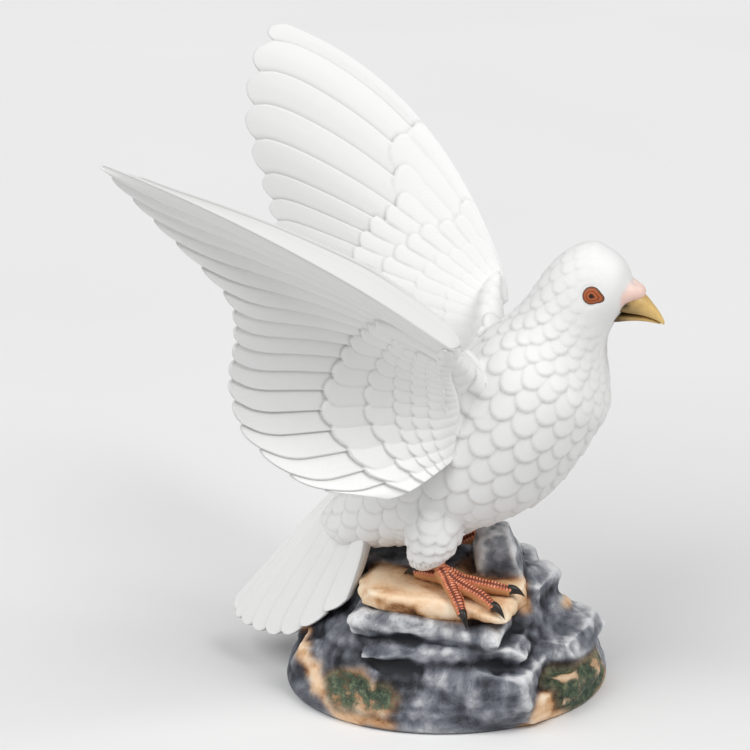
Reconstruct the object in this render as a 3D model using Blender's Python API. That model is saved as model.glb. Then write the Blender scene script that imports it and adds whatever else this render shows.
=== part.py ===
"""Dove statue: a white bisque porcelain dove, wings raised, standing on a painted rock.

One hollow casting, modelled as one solid. Metres, +Z up, origin at the centre of the flat
underside. The dove looks along +X, its left wing is on the +Y side.
"""
import math
from itertools import product

import bmesh
import bpy
import numpy as np
from mathutils import Matrix, Vector

# Driving dimensions, in metres
BIRD_HEIGHT = 0.215          # from the ground under its feet to the tip of the higher wing
STAND_HEIGHT = 0.058         # height of the rock under the near foot
OFF_CENTRE = 0.006           # how far the dove stands from the middle, towards its right
BASE_LENGTH = 0.147          # oval foot of the rock
BASE_WIDTH = 0.117
BASE_TURN = 20.0             # degrees that the oval is turned from the way the dove looks
BASE_RIM = 0.012             # height of the plain rim
UNDERCUT = 0.0015            # how far the boulders end above the flat underside
WING_WALL = 0.0034           # thickness of a wing at its flight feathers
TAIL_WALL = 0.0042
FEATHER_STEP = 0.0011        # how far one feather stands over the next
TOE_WIDTH = 0.0056
CLAW_LENGTH = 0.0068
BEAK_WIDTH = 0.0105          # at its root
WORN_EDGE = 0.93             # how far a boulder's edges and corners are worn back, as shares
WORN_CORNER = 0.82

# Numbers of repeated features
WING_FEATHERS = 17
TAIL_FEATHERS = 8
FEATHERS_ROUND = 18          # body feathers in one row around the breast

# The dove's own shape, drawn in shares of its height: these tables are in 1/215 of it, with x and y
# from the origin and z from a level 58 under the near foot
DRAWN_HEIGHT = 215.0
DRAWN_STAND = 58.0
SCALE = BIRD_HEIGHT / DRAWN_HEIGHT

# Back line (x, z), belly line (x, z) and half-width of the body, from the face to the tail's root
BODY = [((79.5, 200), (77, 186), 6.5), ((76.2, 206.3), (73.5, 180.5), 12), ((70.5, 211), (70.5, 175), 15),
        ((62, 214.2), (69, 169), 17), ((52, 210), (69, 163), 18), ((44.5, 202.5), (69.7, 158), 19),
        ((38.5, 193), (70.5, 152), 21.5), ((33, 184.5), (71, 145), 25.5), ((27, 178), (70.3, 138), 30),
        ((19, 171), (66.5, 131), 33.5), ((9, 160), (61.5, 121.5), 35.5), ((-1.5, 147), (54.5, 110.5), 36),
        ((-12, 134), (45.5, 99), 35), ((-22, 121), (34, 90.5), 33), ((-31, 109.5), (20, 83.5), 29.5),
        ((-39, 99), (5, 76), 25), ((-46, 91), (-12, 71), 21), ((-52, 83.5), (-27, 68), 18),
        ((-56, 78), (-38, 67), 16)]
# Where each row of body feathers ends, counted in the stations above
FEATHER_ROWS = [5.0, 5.8, 6.7, 7.6, 8.6, 9.6, 10.6, 11.6, 12.6, 13.7, 14.9, 16.3]

# Each wing is a fan of feathers, numbered from the front edge. Keys (feather, x, y, z) give where they
# spring from the arm and where they end; bows say how far a feather's middle stands off the straight.
RIGHT_WING = {
    "roots": [(0, 11, -57, 183), (3, 8, -52, 178), (6, 6, -46, 170), (11, 7, -39, 153), (17, 9, -35, 124)],
    "tips": [(0, -110, -130, 271), (3, -92, -109, 240), (6, -71, -89, 205), (8, -71, -82, 188),
             (11, -75, -77, 162), (13, -69, -74, 141), (15, -45, -68, 120), (17, -14, -54, 111)],
    "bows": [(0, 0, -3, 6), (4, 0, 6, 3), (8, 0, 11, 2), (13, -2, 8, -4), (17, 0, -3, -3)],
    "hood": (0, 9, 11),
}
LEFT_WING = {
    "roots": [(0, 13, 57, 180), (3, 9, 52, 176), (6, 6, 46, 169), (11, 7, 39, 153), (17, 9, 35, 124)],
    "tips": [(0, -114, 130, 273), (1, -121, 123, 262), (3, -124, 111, 233), (6, -109, 96, 193),
             (9, -98, 84, 168), (11, -90, 79, 153), (13, -74, 75, 137), (15, -47, 68, 120),
             (17, -15, 53, 113)],
    "bows": [(0, 11, 3, 16), (4, 3, -5, 8), (8, 0, -9, 3), (13, -2, -8, -3), (17, 0, 3, -3)],
    "hood": (2, 7, -3),
}
TAIL = {
    "roots": [(0, -56, 9, 84), (3, -50, 3, 87), (5, -42, -8, 85), (8, -33, -19, 78)],
    "tips": [(0, -104, 13, 23), (2, -99, 3, 19), (4, -85, -8, 19), (6, -66, -18, 25), (8, -40, -26, 47)],
    "bows": [(0, 0, 0, 0), (4, 1, 0, 3), (8, 2, 0, 3)],
}

# Limbs that grow out of the body on both sides: places along each, half-size along x and across it
ARM = [((22, 8, 144), 24, 26), ((20, 22, 150), 20, 22), ((15, 34, 158), 15, 17), ((11, 43, 166), 11, 12.5),
       ((9, 50, 174), 8.5, 9), ((9, 55, 180), 6, 6.5), ((9.5, 58, 184), 2.5, 3)]
LEG = [((2, 20, 97), 13, 10), ((4.5, 23, 88), 16, 12), ((5.3, 25, 81), 15.6, 12), ((2.5, 25.5, 75), 12, 9.5),
       ((0.5, 25.5, 70.5), 8, 7), ((1.5, 25.5, 67.5), 3.5, 3.5)]
CERE = ((81, 2.6, 194), (7.5, 3.4, 4.2))
ANKLE = ((9.5, 26, 70.5), (3.8, 3.6, 8))
# Beak from its root to its hooked tip: (x, z), half-width as a share, half-height
BEAK = [((73, 190), 1.0, 5.6), ((79, 189.5), 1.0, 6.0), ((85, 188.5), 0.86, 5.0), ((90, 186), 0.55, 3.2),
        ((93.5, 181.5), 0.14, 0.8)]

# Boulders, as shares of the base's half-length, its half-width and the standing height:
# centre, size, turn and tilt in degrees
ROCKS = [((0.02, -0.30, 0.93), (0.98, 0.98, 0.16), 4, 3), ((-0.02, -0.32, 0.74), (0.98, 1.02, 0.22), -3, 1),
         ((0.08, -0.34, 0.56), (1.00, 1.04, 0.20), 5, -2), ((0.28, -0.50, 0.27), (0.78, 0.82, 0.50), 8, 0),
         ((-0.42, -0.54, 0.27), (0.64, 0.60, 0.46), -28, 6), ((-0.66, -0.44, 0.24), (0.34, 0.56, 0.42), -22, 8),
         ((-0.76, -0.11, 0.35), (0.36, 0.60, 0.56), -8, 4), ((-0.52, 0.10, 0.50), (0.66, 0.80, 0.66), 10, 3),
         ((-0.22, 0.08, 0.82), (0.76, 0.72, 0.50), -6, 2), ((0.31, 0.00, 1.05), (0.32, 0.42, 0.58), 14, -8),
         ((0.48, 0.13, 0.66), (0.32, 0.50, 0.56), -12, 5), ((0.58, 0.30, 0.42), (0.28, 0.40, 0.44), 15, 0),
         ((0.64, 0.02, 0.42), (0.56, 0.80, 0.34), -8, -4), ((0.67, -0.18, 0.22), (0.52, 0.68, 0.30), -16, -3),
         ((0.56, -0.46, 0.14), (0.42, 0.40, 0.24), -30, 0), ((0.02, 0.54, 0.36), (0.84, 0.60, 0.66), 6, 0),
         ((-0.46, 0.46, 0.30), (0.60, 0.60, 0.54), 30, 0), ((0.44, 0.50, 0.28), (0.56, 0.54, 0.50), -28, 0),
         ((0.20, 0.38, 0.72), (0.66, 0.62, 0.36), 8, 4)]

ROCK_SHIFT = 0.055           # how far a boulder's points stray, as a share of its size
ROCK_SEED = 7

# Toes from the ankle to the root of the claw, on the dove's drawn shape
TOES = {
    "right_hind_toe": [(9, -25, 65), (1, -21, 62), (-9, -18, 61)],
    "right_outer_toe": [(10, -26, 67), (12, -31, 62.5), (15, -38, 59.5), (17.5, -43, 55)],
    "right_middle_toe": [(11, -26, 67), (17, -30, 62.5), (25, -34, 60), (30, -37, 57)],
    "right_inner_toe": [(11, -25, 67), (18, -25, 62.5), (27, -24, 60.5), (34, -23, 59)],
    "left_hind_toe": [(9, 25, 62), (0, 22, 58), (-8, 20, 57)],
    "left_outer_toe": [(10, 26, 62), (13, 33, 58), (17, 40, 55)],
    "left_middle_toe": [(11, 26, 62), (17, 29, 58), (24, 32, 55)],
    "left_inner_toe": [(11, 25, 62), (18, 24, 58), (25, 23, 55)],
}


def spline(keys, at):
    """Smooth curve (Catmull-Rom) through the rows of keys, whose first number is the parameter."""
    keys = np.asarray(keys, float)
    marks, values = keys[:, 0], keys[:, 1:]
    span = int(np.clip(np.searchsorted(marks, at, side="right") - 1, 0, len(marks) - 2))
    slopes = np.gradient(values, marks, axis=0)
    width = marks[span + 1] - marks[span]
    u = (at - marks[span]) / width
    start, end = values[span], values[span + 1]
    return ((2 * u**3 - 3 * u**2 + 1) * start + (u**3 - 2 * u**2 + u) * width * slopes[span]
            + (3 * u**2 - 2 * u**3) * end + (u**3 - u**2) * width * slopes[span + 1])


def smoothstep(low, high, value):
    share = min(max((value - low) / (high - low), 0.0), 1.0)
    return share * share * (3 - 2 * share)


def on_bird(point):
    """A point of the dove's drawn shape in metres, standing on the rock."""
    x, y, z = point
    return Vector((x * SCALE, y * SCALE - OFF_CENTRE, STAND_HEIGHT + (z - DRAWN_STAND) * SCALE))


def new_object(name, mesh_data, collection):
    mesh = bpy.data.meshes.new(name)
    mesh_data.to_mesh(mesh)
    mesh_data.free()
    thing = bpy.data.objects.new(name, mesh)
    collection.objects.link(thing)
    return thing


def skin_rings(rings, name, collection, flat_ends=False):
    """Closed skin over rings of equal length. An end is a fan, or rungs across a flat ring."""
    skin = bmesh.new()
    rows = [[skin.verts.new(point) for point in ring] for ring in rings]
    count = len(rows[0])
    for near, far in zip(rows, rows[1:]):
        for i in range(count):
            j = (i + 1) % count
            skin.faces.new((near[i], near[j], far[j], far[i]))
    for row, turn in ((rows[0], -1), (rows[-1], 1)):
        if flat_ends:
            for i in range(count // 2 - 1):
                skin.faces.new((row[i], row[i + 1], row[-2 - i], row[-1 - i])[::turn])
            continue
        middle = skin.verts.new(sum((vert.co for vert in row), Vector()) / count)
        for i in range(count):
            pair = (row[i], row[(i + 1) % count])[::turn]
            skin.faces.new((*pair, middle))
    bmesh.ops.recalc_face_normals(skin, faces=skin.faces)
    return new_object(name, skin, collection)


def body_rings():
    """Rings around the dove from its face to its tail's root, each row of feathers a saw-tooth."""
    stations = [(i, *back, *belly, half) for i, (back, belly, half) in enumerate(BODY)]
    columns = 2 * FEATHERS_ROUND
    step = FEATHER_STEP / SCALE

    def ring(at_tips, above):
        points = []
        for column in range(columns):
            at, lift = at_tips(column), above(column)
            back_x, back_z, belly_x, belly_z, half = spline(stations, min(at, len(BODY) - 1))
            angle = 2 * math.pi * column / columns
            middle = np.array([(back_x + belly_x) / 2, 0.0, (back_z + belly_z) / 2])
            up = np.array([(back_x - belly_x) / 2, 0.0, (back_z - belly_z) / 2])
            side = np.array([0.0, half, 0.0])
            spoke = math.cos(angle) * up + math.sin(angle) * side
            points.append(on_bird(middle + spoke * (1 + lift / np.linalg.norm(spoke))))
        return points

    rings = [ring(lambda c, s=s: s, lambda c: 0.0) for s in (0, 0.6, 1.3, 2.1, 3, 3.9)]
    for number, row in enumerate(FEATHER_ROWS):
        gap = row - FEATHER_ROWS[number - 1] if number else 0.8

        def tip(column, late, row=row, gap=gap, number=number):
            on_feather = (column + number) % 2 == 0
            return row + gap * (0.24 if on_feather else -0.14) + late

        def lift(column, share, number=number):
            full = step if (column + number) % 2 == 0 else 0.45 * step
            return share * full

        rings.append(ring(lambda c, tip=tip: tip(c, 0.0), lambda c, lift=lift: lift(c, 1.0)))
        rings.append(ring(lambda c, tip=tip: tip(c, 0.07), lambda c, lift=lift: lift(c, -0.35)))
    rings.append(ring(lambda c: len(BODY) - 1, lambda c: 0.0))
    return rings


def fan_point(fan, feather, along):
    root, tip = spline(fan["roots"], feather), spline(fan["tips"], feather)
    return root + (tip - root) * along + spline(fan["bows"], feather) * 4 * along * (1 - along)


def fan_normal(fan, feather, along, last):
    low, high = max(feather - 0.2, 0), min(feather + 0.2, last)
    across = fan_point(fan, high, along) - fan_point(fan, low, along)
    lengthwise = fan_point(fan, feather, min(along + 0.02, 1)) - fan_point(fan, feather, along - 0.02)
    normal = np.cross(lengthwise, across)
    return normal / np.linalg.norm(normal)


def covert_line(feather):
    """Share of a flight feather's length that the long coverts hide."""
    return 0.30 + 0.26 * smoothstep(4, 9, feather) + 0.012 * max(feather - 9, 0)


def fan_skin(fan, count, wall, cover, name, collection):
    """A wing or tail: two feathered faces, a thick front edge if it has a hood, scalloped tips."""
    columns = [j + f for j in range(count) for f in (0.0, 0.2, 0.8)] + [count]
    hooded = "hood" in fan
    hood = np.array(fan["hood"] if hooded else (0, 0, 0), float)
    step = FEATHER_STEP / SCALE
    thickness = wall / SCALE
    front, back = [], []
    for feather in columns:
        share = feather % 1.0 if feather < count else 1.0
        edge = cover(feather)
        rows = [(0.0, 0.0), (edge, 1.2), (edge + 0.012, 0.0), (1.0, 0.0)]
        if hooded:
            rows[1:1] = [(0.60 * edge, 1.0), (0.62 * edge, 0.0)]
            rows.insert(-1, (0.55 + edge * 0.45, 0.0))
        reach = 0.975 if share in (0.0, 1.0) else 1.0
        front_row, back_row = [], []
        for along, raised in rows:
            normal = fan_normal(fan, feather, along, count)
            point = fan_point(fan, feather, along * reach if along == 1.0 else along)
            slope = (share - 0.4) * 1.3 * smoothstep(0.0, 0.6, along)
            taper = 1 - 0.75 * along
            roof = smoothstep(0, 1.2, feather) * (1 - smoothstep(1.2, 4.5, feather)) * taper
            wall_here = thickness * (0.45 + 0.55 * smoothstep(0, 1.5, feather)) * (1.15 - 0.25 * along)
            front_row.append(point + normal * step * (slope + 0.8 * raised))
            back_row.append(point - normal * (wall_here - step * slope) + hood * roof)
        front.append(front_row)
        back.append(back_row)
    rings = [[on_bird(p) for p in row + other[::-1]] for row, other in zip(front, back)]
    return skin_rings(rings, name, collection, flat_ends=True)


def limb(name, rows, side, collection, segments=12):
    """A tapering limb, as rings across the way that its places run."""
    places = np.array([place for place, _, _ in rows], float) * (1, side, 1)
    rings = []
    for place, way, (_, fore, across) in zip(places, np.gradient(places, axis=0), rows):
        way = way / np.linalg.norm(way)
        forward = np.array((1.0, 0, 0)) - way * way[0]
        forward = forward / np.linalg.norm(forward)
        outward = np.cross(way, forward)
        rings.append([on_bird(place + forward * fore * math.cos(a) + outward * across * math.sin(a))
                      for a in (2 * math.pi * i / segments for i in range(segments))])
    return skin_rings(rings, name, collection)


def ball(name, centre, radii, collection, segments=9):
    """A rounded lump of the dove: centre and the three half-sizes, in the drawn shape's units."""
    shape = bmesh.new()
    bmesh.ops.create_uvsphere(shape, u_segments=segments, v_segments=segments * 2 // 3, radius=1)
    bmesh.ops.scale(shape, vec=Vector(radii) * SCALE, verts=shape.verts)
    bmesh.ops.translate(shape, vec=on_bird(centre), verts=shape.verts)
    return new_object(name, shape, collection)


def toe(name, points, collection):
    """A toe with its knuckles and its claw, as a bevelled curve made a mesh."""
    curve = bpy.data.curves.new(name, "CURVE")
    curve.dimensions = "3D"
    curve.bevel_depth = TOE_WIDTH / 2
    curve.bevel_resolution = 1
    curve.use_fill_caps = True
    path = [on_bird(point) for point in points]
    heading = (path[-1] - path[-2]).normalized()
    claw = [path[-1] + heading * CLAW_LENGTH * 0.5 + Vector((0, 0, CLAW_LENGTH * 0.10)),
            path[-1] + heading * CLAW_LENGTH + Vector((0, 0, -CLAW_LENGTH * 0.25))]
    thick = [1.15, 0.95, 1.08, 0.92, 0.80][-len(path):] + [0.52, 0.10]
    spline_data = curve.splines.new("POLY")
    spline_data.points.add(len(path) + len(claw) - 1)
    for slot, point, width in zip(spline_data.points, path + claw, thick):
        slot.co = (*point, 1)
        slot.radius = width
    drawn = bpy.data.objects.new(name + "_line", curve)
    collection.objects.link(drawn)
    mesh = bpy.data.meshes.new_from_object(drawn.evaluated_get(bpy.context.evaluated_depsgraph_get()))
    bpy.data.objects.remove(drawn)
    shape = bmesh.new()
    shape.from_mesh(mesh)
    bmesh.ops.remove_doubles(shape, verts=shape.verts, dist=1e-5)
    return new_object(name, shape, collection)


def boulder(number, centre, size, turn, tilt, collection, dice):
    """A split block with worn edges and corners, as the hull round its shifted lattice points."""
    half = np.array((BASE_LENGTH / 2, BASE_WIDTH / 2, STAND_HEIGHT))
    turned = (Matrix.Translation(np.array(centre) * half) @ Matrix.Rotation(math.radians(turn), 4, "Z")
              @ Matrix.Rotation(math.radians(tilt), 4, "Y"))
    shape = bmesh.new()
    for corner in product((-1, 0, 1), repeat=3):
        outward = sum(abs(step) for step in corner)
        worn = (0, 1.0, WORN_EDGE, WORN_CORNER)[outward]
        if worn:
            share = np.array(corner) / 2 * worn + dice.uniform(-1, 1, 3) * ROCK_SHIFT
            place = turned @ Vector(share * np.array(size) * half)
            place.z = max(place.z, UNDERCUT)
            shape.verts.new(place)
    bmesh.ops.convex_hull(shape, input=shape.verts)
    bmesh.ops.delete(shape, geom=[vert for vert in shape.verts if not vert.link_faces], context="VERTS")
    return new_object(f"boulder_{number}", shape, collection)


def rock_foot(collection):
    """The oval foot with its flat underside and plain rim, tapering into the rock's core."""
    turns = 32
    profile = [(0.985, 0.0), (1.0, 0.25 * BASE_RIM), (0.97, BASE_RIM), (0.80, 0.55 * STAND_HEIGHT),
               (0.55, 0.86 * STAND_HEIGHT)]
    turned = Matrix.Rotation(math.radians(BASE_TURN), 3, "Z")
    rings = []
    for share, height in profile:
        rings.append([turned @ Vector((share * BASE_LENGTH / 2 * math.cos(2 * math.pi * i / turns),
                                       share * BASE_WIDTH / 2 * math.sin(2 * math.pi * i / turns), height))
                      for i in range(turns)])
    return skin_rings(rings, "rock_foot", collection)


def beak(collection):
    """The hooked beak, as rings from its root to its tip."""
    rings = []
    for (x, z), wide, high in BEAK:
        half = BEAK_WIDTH / 2 / SCALE * wide
        rings.append([on_bird((x, half * math.cos(a), z + high * math.sin(a)))
                      for a in (2 * math.pi * i / 10 for i in range(10))])
    return skin_rings(rings, "beak", collection)


def main():
    for old in list(bpy.data.objects):
        bpy.data.objects.remove(old)
    finished = bpy.data.collections.new("dove_statue")
    parts = bpy.data.collections.new("parts_before_luting")
    for collection in (finished, parts):
        bpy.context.scene.collection.children.link(collection)

    statue = skin_rings(body_rings(), "dove_statue", finished)
    fan_skin(RIGHT_WING, WING_FEATHERS, WING_WALL, covert_line, "right_wing", parts)
    fan_skin(LEFT_WING, WING_FEATHERS, WING_WALL, covert_line, "left_wing", parts)
    fan_skin(TAIL, TAIL_FEATHERS, TAIL_WALL, lambda feather: 0.2, "tail", parts)
    beak(parts)
    for side in (-1, 1):
        limb(f"arm_{side}", ARM, side, parts)
        limb(f"leg_{side}", LEG, side, parts)
        for name, ((x, y, z), radii) in (("cere", CERE), ("ankle", ANKLE)):
            ball(f"{name}_{side}", (x, side * y, z), radii, parts)
    for name, points in TOES.items():
        toe(name, points, parts)
    rock_foot(parts)
    dice = np.random.RandomState(ROCK_SEED)
    for number, rock in enumerate(ROCKS):
        boulder(number, *rock, parts, dice)

    material = bpy.data.materials.new("bisque_porcelain")
    material.use_nodes = True
    shader = material.node_tree.nodes["Principled BSDF"]
    shader.inputs["Base Color"].default_value = (0.90, 0.90, 0.89, 1)
    shader.inputs["Roughness"].default_value = 0.6
    shader.inputs["Metallic"].default_value = 0.0
    statue.data.materials.append(material)

    for piece in parts.objects:
        piece.hide_render = True
        piece.display_type = "WIRE"
        luting = statue.modifiers.new(piece.name, "BOOLEAN")
        luting.operation = "UNION"
        luting.solver = "MANIFOLD"
        luting.object = piece


main()
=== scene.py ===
"""Looks of a white bisque porcelain dove on a painted rock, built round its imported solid."""
import math
from itertools import product

import bmesh
import bpy
import numpy as np
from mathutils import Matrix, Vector, noise
from mathutils.bvhtree import BVHTree


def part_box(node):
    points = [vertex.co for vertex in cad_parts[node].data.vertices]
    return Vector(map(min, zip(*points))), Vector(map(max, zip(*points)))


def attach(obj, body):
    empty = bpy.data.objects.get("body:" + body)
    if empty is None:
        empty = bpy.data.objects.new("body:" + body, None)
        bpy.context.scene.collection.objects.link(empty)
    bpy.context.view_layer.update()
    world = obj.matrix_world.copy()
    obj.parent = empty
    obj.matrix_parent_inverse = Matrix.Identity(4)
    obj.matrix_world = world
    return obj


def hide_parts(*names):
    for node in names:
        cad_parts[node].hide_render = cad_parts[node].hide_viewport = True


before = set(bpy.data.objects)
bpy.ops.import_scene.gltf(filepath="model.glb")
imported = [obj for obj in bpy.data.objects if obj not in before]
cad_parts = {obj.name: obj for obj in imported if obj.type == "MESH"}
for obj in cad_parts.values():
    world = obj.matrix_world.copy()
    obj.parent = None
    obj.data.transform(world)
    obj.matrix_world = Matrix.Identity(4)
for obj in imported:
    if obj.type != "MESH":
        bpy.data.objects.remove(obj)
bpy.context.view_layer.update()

# Body: head, neck, breast, back, arms and feathered thighs, the main shell of the slip casting. The
# body feathers are carved in the mould, row over row like tiles, and left as matt bisque, with painted
# shade darkening the grooves between them.
STATUE = "dove_statue"
DRAWN_TALL = 271.9         # the drawing's height: places and sizes below are in 1/271.9 of the statue
OFF_CENTRE = 6.0           # how far the dove stands from the middle, towards its right
low, high = (np.array(corner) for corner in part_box(STATUE))
UNIT = (high[2] - low[2]) / DRAWN_TALL
# Back line (x, z), belly line (x, z) and half-width, from the face to the tail's root
BODY = [((79.5, 200), (77, 186), 6.5), ((76.2, 206.3), (73.5, 180.5), 12), ((70.5, 211), (70.5, 175), 15),
        ((62, 214.2), (69, 169), 17), ((52, 210), (69, 163), 18), ((44.5, 202.5), (69.7, 158), 19),
        ((38.5, 193), (70.5, 152), 21.5), ((33, 184.5), (71, 145), 25.5), ((27, 178), (70.3, 138), 30),
        ((19, 171), (66.5, 131), 33.5), ((9, 160), (61.5, 121.5), 35.5), ((-1.5, 147), (54.5, 110.5), 36),
        ((-12, 134), (45.5, 99), 35), ((-22, 121), (34, 90.5), 33), ((-31, 109.5), (20, 83.5), 29.5),
        ((-39, 99), (5, 76), 25), ((-46, 91), (-12, 71), 21), ((-52, 83.5), (-27, 68), 18),
        ((-56, 78), (-38, 67), 16)]
# Arms: where each is luted to its wing's root and where it starts inside the body, from the wing's
# front edge down, and its half-thickness by the share of that way
ARM = [((12, 57, 181.5), (17, 20, 164)), ((8.5, 52, 177), (17, 20, 160)), ((6, 46, 169.5), (16, 20, 154)),
       ((7, 39, 153), (14, 18, 144)), ((9, 35.5, 128), (12, 18, 130))]
ARM_THICK = [(0, 10), (0.45, 7), (0.8, 4.0), (1.0, 2.3), (1.03, 0.8)]
# Thighs: places down each, half-size along x and across it
LEG = [((0, 20, 97), 12, 10), ((0, 23, 88), 12, 11.5), ((-0.6, 25, 81), 10.6, 10.5),
       ((-2, 25.5, 75), 8.8, 8.8), ((-3, 25.5, 70.5), 7, 7), ((-2.5, 25.5, 67.5), 4, 4)]
# Lumps of the cere on each side of the forehead: centre and half-size
CERE = [((73, 5.4, 191.4), 3.8), ((76, 4.9, 193.0), 4.2), ((79, 3.6, 194.0), 4.2), ((82.2, 1.5, 193.6), 3.5)]
# Eyes: their place, then their size with how far they bulge and how deep they are set, then the front
# corner's dip in degrees, its reach past the round in radii and how narrow it is
EYE = (64.9, 195.7)
EYE_RADIUS, EYE_BULGE, EYE_SOCKET = 3.8, 0.9, 0.3
EYE_DIP, EYE_CORNER, EYE_POINT = 20, 0.50, 9.0
# How wide the feathers are, how far their rows stand apart and how thick their tips are, by station
FEATHER_SIZES = [(1.5, 4.0, 2.6, 0.30), (3, 5.5, 3.8, 0.60), (5, 8.5, 4.8, 0.95), (7, 10, 6.2, 1.4),
                 (9, 13, 8.4, 1.9), (12, 15.5, 10.0, 2.4), (15, 14.5, 10.0, 2.2), (18, 9.5, 8.0, 1.6)]
# Rows of thigh feathers: height, number, width, length and rise, the last a fringe round the cuff
THIGH_ROWS = [(91, 6, 11, 14, 2.4), (84, 7, 10, 12, 2.3), (77, 8, 8, 10, 2.0), (72, 16, 2.6, 8, 1.2)]
ARM_ROWS = range(14, 36, 4)          # the arm's rings that carry a row of scales
LAST_STATION = len(BODY) - 1
BODY_VOXEL, BODY_SMOOTHING = 0.80, 22


def placed(points):
    """Drawn places in metres, in the frame."""
    return (np.asarray(points, float) - (0, OFF_CENTRE, 0)) * UNIT


def drawn(places):
    """Places in the frame, back in the drawing's units."""
    return np.asarray(places, float) / UNIT + (0, OFF_CENTRE, 0)


def curve_through(keys, at):
    """Smooth curve through the rows of keys, whose first number is the place along it."""
    keys = np.asarray(keys, float)
    marks, values = keys[:, 0], keys[:, 1:]
    at = np.clip(np.asarray(at, float), marks[0], marks[-1])
    span = np.clip(np.searchsorted(marks, at, side="right") - 1, 0, len(marks) - 2)
    slopes = np.gradient(values, marks, axis=0)
    width = (marks[span + 1] - marks[span])[..., None]
    u = (at - marks[span])[..., None] / width
    return ((2 * u**3 - 3 * u**2 + 1) * values[span] + (u**3 - 2 * u**2 + u) * width * slopes[span]
            + (3 * u**2 - 2 * u**3) * values[span + 1] + (u**3 - u**2) * width * slopes[span + 1])


def ease(start, end, value):
    """0 up to start, 1 from end on, and smooth between."""
    share = np.clip((value - start) / (end - start), 0, 1)
    return share * share * (3 - 2 * share)


def unit(vectors):
    return vectors / np.maximum(np.linalg.norm(vectors, axis=-1, keepdims=True), 1e-9)


def body_point(station, turn):
    """A place on the smooth body: station along it and turn round it, 0 on the back."""
    row = curve_through([(i, *back, *belly, half) for i, (back, belly, half) in enumerate(BODY)], station)
    flat = 0 * row[..., 0]
    back = np.stack([row[..., 0], flat, row[..., 1]], -1)
    belly = np.stack([row[..., 2], flat, row[..., 3]], -1)
    side = np.stack([flat, row[..., 4], flat], -1)
    return (back + belly) / 2 + np.cos(turn)[..., None] * (back - belly) / 2 + np.sin(turn)[..., None] * side


def limb_rings(rows, side, columns=48, lengths=40):
    """Rings of a tapering limb, each across the way that its places run."""
    keys = [(i, *place, fore, across) for i, (place, fore, across) in enumerate(rows)]
    path = curve_through(keys, np.linspace(0, len(rows) - 1, lengths))
    places = path[:, :3] * (1, side, 1)
    way = unit(np.gradient(places, axis=0))
    forward = unit(np.array((1.0, 0, 0)) - way * way[:, :1])
    outward = np.cross(way, forward)
    turn = np.linspace(0, 2 * math.pi, columns, endpoint=False)[None, :, None]
    return (places[:, None] + forward[:, None] * path[:, 3, None, None] * np.cos(turn)
            + outward[:, None] * path[:, 4, None, None] * np.sin(turn))


def arm_rings(side, columns=56, lengths=40):
    """Rings of a flat arm, from inside the body to just inside the wing."""
    keys = [(i, *root, *inner) for i, (root, inner) in enumerate(ARM)]
    turn = np.linspace(0, 2 * math.pi, columns, endpoint=False)
    down = (1 - np.cos(turn)) / 2 * (len(ARM) - 1)
    row, above, below = (curve_through(keys, down + step) for step in (0, -0.05, 0.05))
    root, inner = row[:, :3], row[:, 3:]
    normal = unit(np.cross(root - inner, (below - above)[:, :3] + (below - above)[:, 3:]))
    reach = np.linspace(0, ARM_THICK[-1][0], lengths)[:, None, None]
    thick = np.interp(reach, *np.array(ARM_THICK).T)
    return (inner + (root - inner) * reach + normal * thick * np.sin(turn)[:, None]) * (1, side, 1)


def closed_tube(rings):
    """Points and faces of a closed skin over rings, shape (rows, columns, 3)."""
    rows, columns, _ = rings.shape
    faces = [(r * columns + c, (r + 1) * columns + c, (r + 1) * columns + (c + 1) % columns,
              r * columns + (c + 1) % columns) for r in range(rows - 1) for c in range(columns)]
    first, last = rows * columns, rows * columns + 1
    for c in range(columns):
        d = (c + 1) % columns
        faces.append((c, d, first))
        faces.append(((rows - 1) * columns + d, (rows - 1) * columns + c, last))
    return np.concatenate([rings.reshape(-1, 3), [rings[0].mean(0), rings[-1].mean(0)]]), faces


def ball(centre, radius, columns=32, rows=20):
    bend = np.linspace(0.02, math.pi - 0.02, rows)[:, None]
    turn = np.linspace(0, 2 * math.pi, columns, endpoint=False)[None, :]
    shape = np.stack([np.sin(bend) * np.cos(turn), np.sin(bend) * np.sin(turn), np.cos(bend) + 0 * turn], -1)
    return closed_tube(np.array(centre) + shape * radius)


def joined(shells):
    """Several shells, each its points and faces, as one."""
    points, faces, start = [], [], 0
    for shell_points, shell_faces in shells:
        points.append(shell_points)
        faces += [tuple(start + i for i in face) for face in shell_faces]
        start += len(shell_points)
    return np.concatenate(points), faces


def new_piece(name, points, faces):
    """A piece's mesh in its place, facing outwards, its object at the origin."""
    mesh = bpy.data.meshes.new(name)
    mesh.from_pydata(placed(points).tolist(), [], faces)
    skin = bmesh.new()
    skin.from_mesh(mesh)
    bmesh.ops.recalc_face_normals(skin, faces=skin.faces)
    skin.to_mesh(mesh)
    skin.free()
    mesh.shade_smooth()
    piece = bpy.data.objects.new(name, mesh)
    bpy.context.scene.collection.objects.link(piece)
    return piece


def fused(name, shells, voxel, smoothing):
    """One smooth skin round shells that overlap."""
    rough = new_piece(name + "_rough", *joined(shells))
    remesh = rough.modifiers.new("remesh", "REMESH")
    remesh.mode = "VOXEL"
    remesh.voxel_size = voxel * UNIT
    remesh.use_smooth_shade = True
    soften = rough.modifiers.new("soften", "SMOOTH")
    soften.factor = 0.5
    soften.iterations = smoothing
    mesh = bpy.data.meshes.new_from_object(rough.evaluated_get(bpy.context.evaluated_depsgraph_get()))
    mesh.name = name
    bpy.data.objects.remove(rough)
    piece = bpy.data.objects.new(name, mesh)
    bpy.context.scene.collection.objects.link(piece)
    return piece


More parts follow.
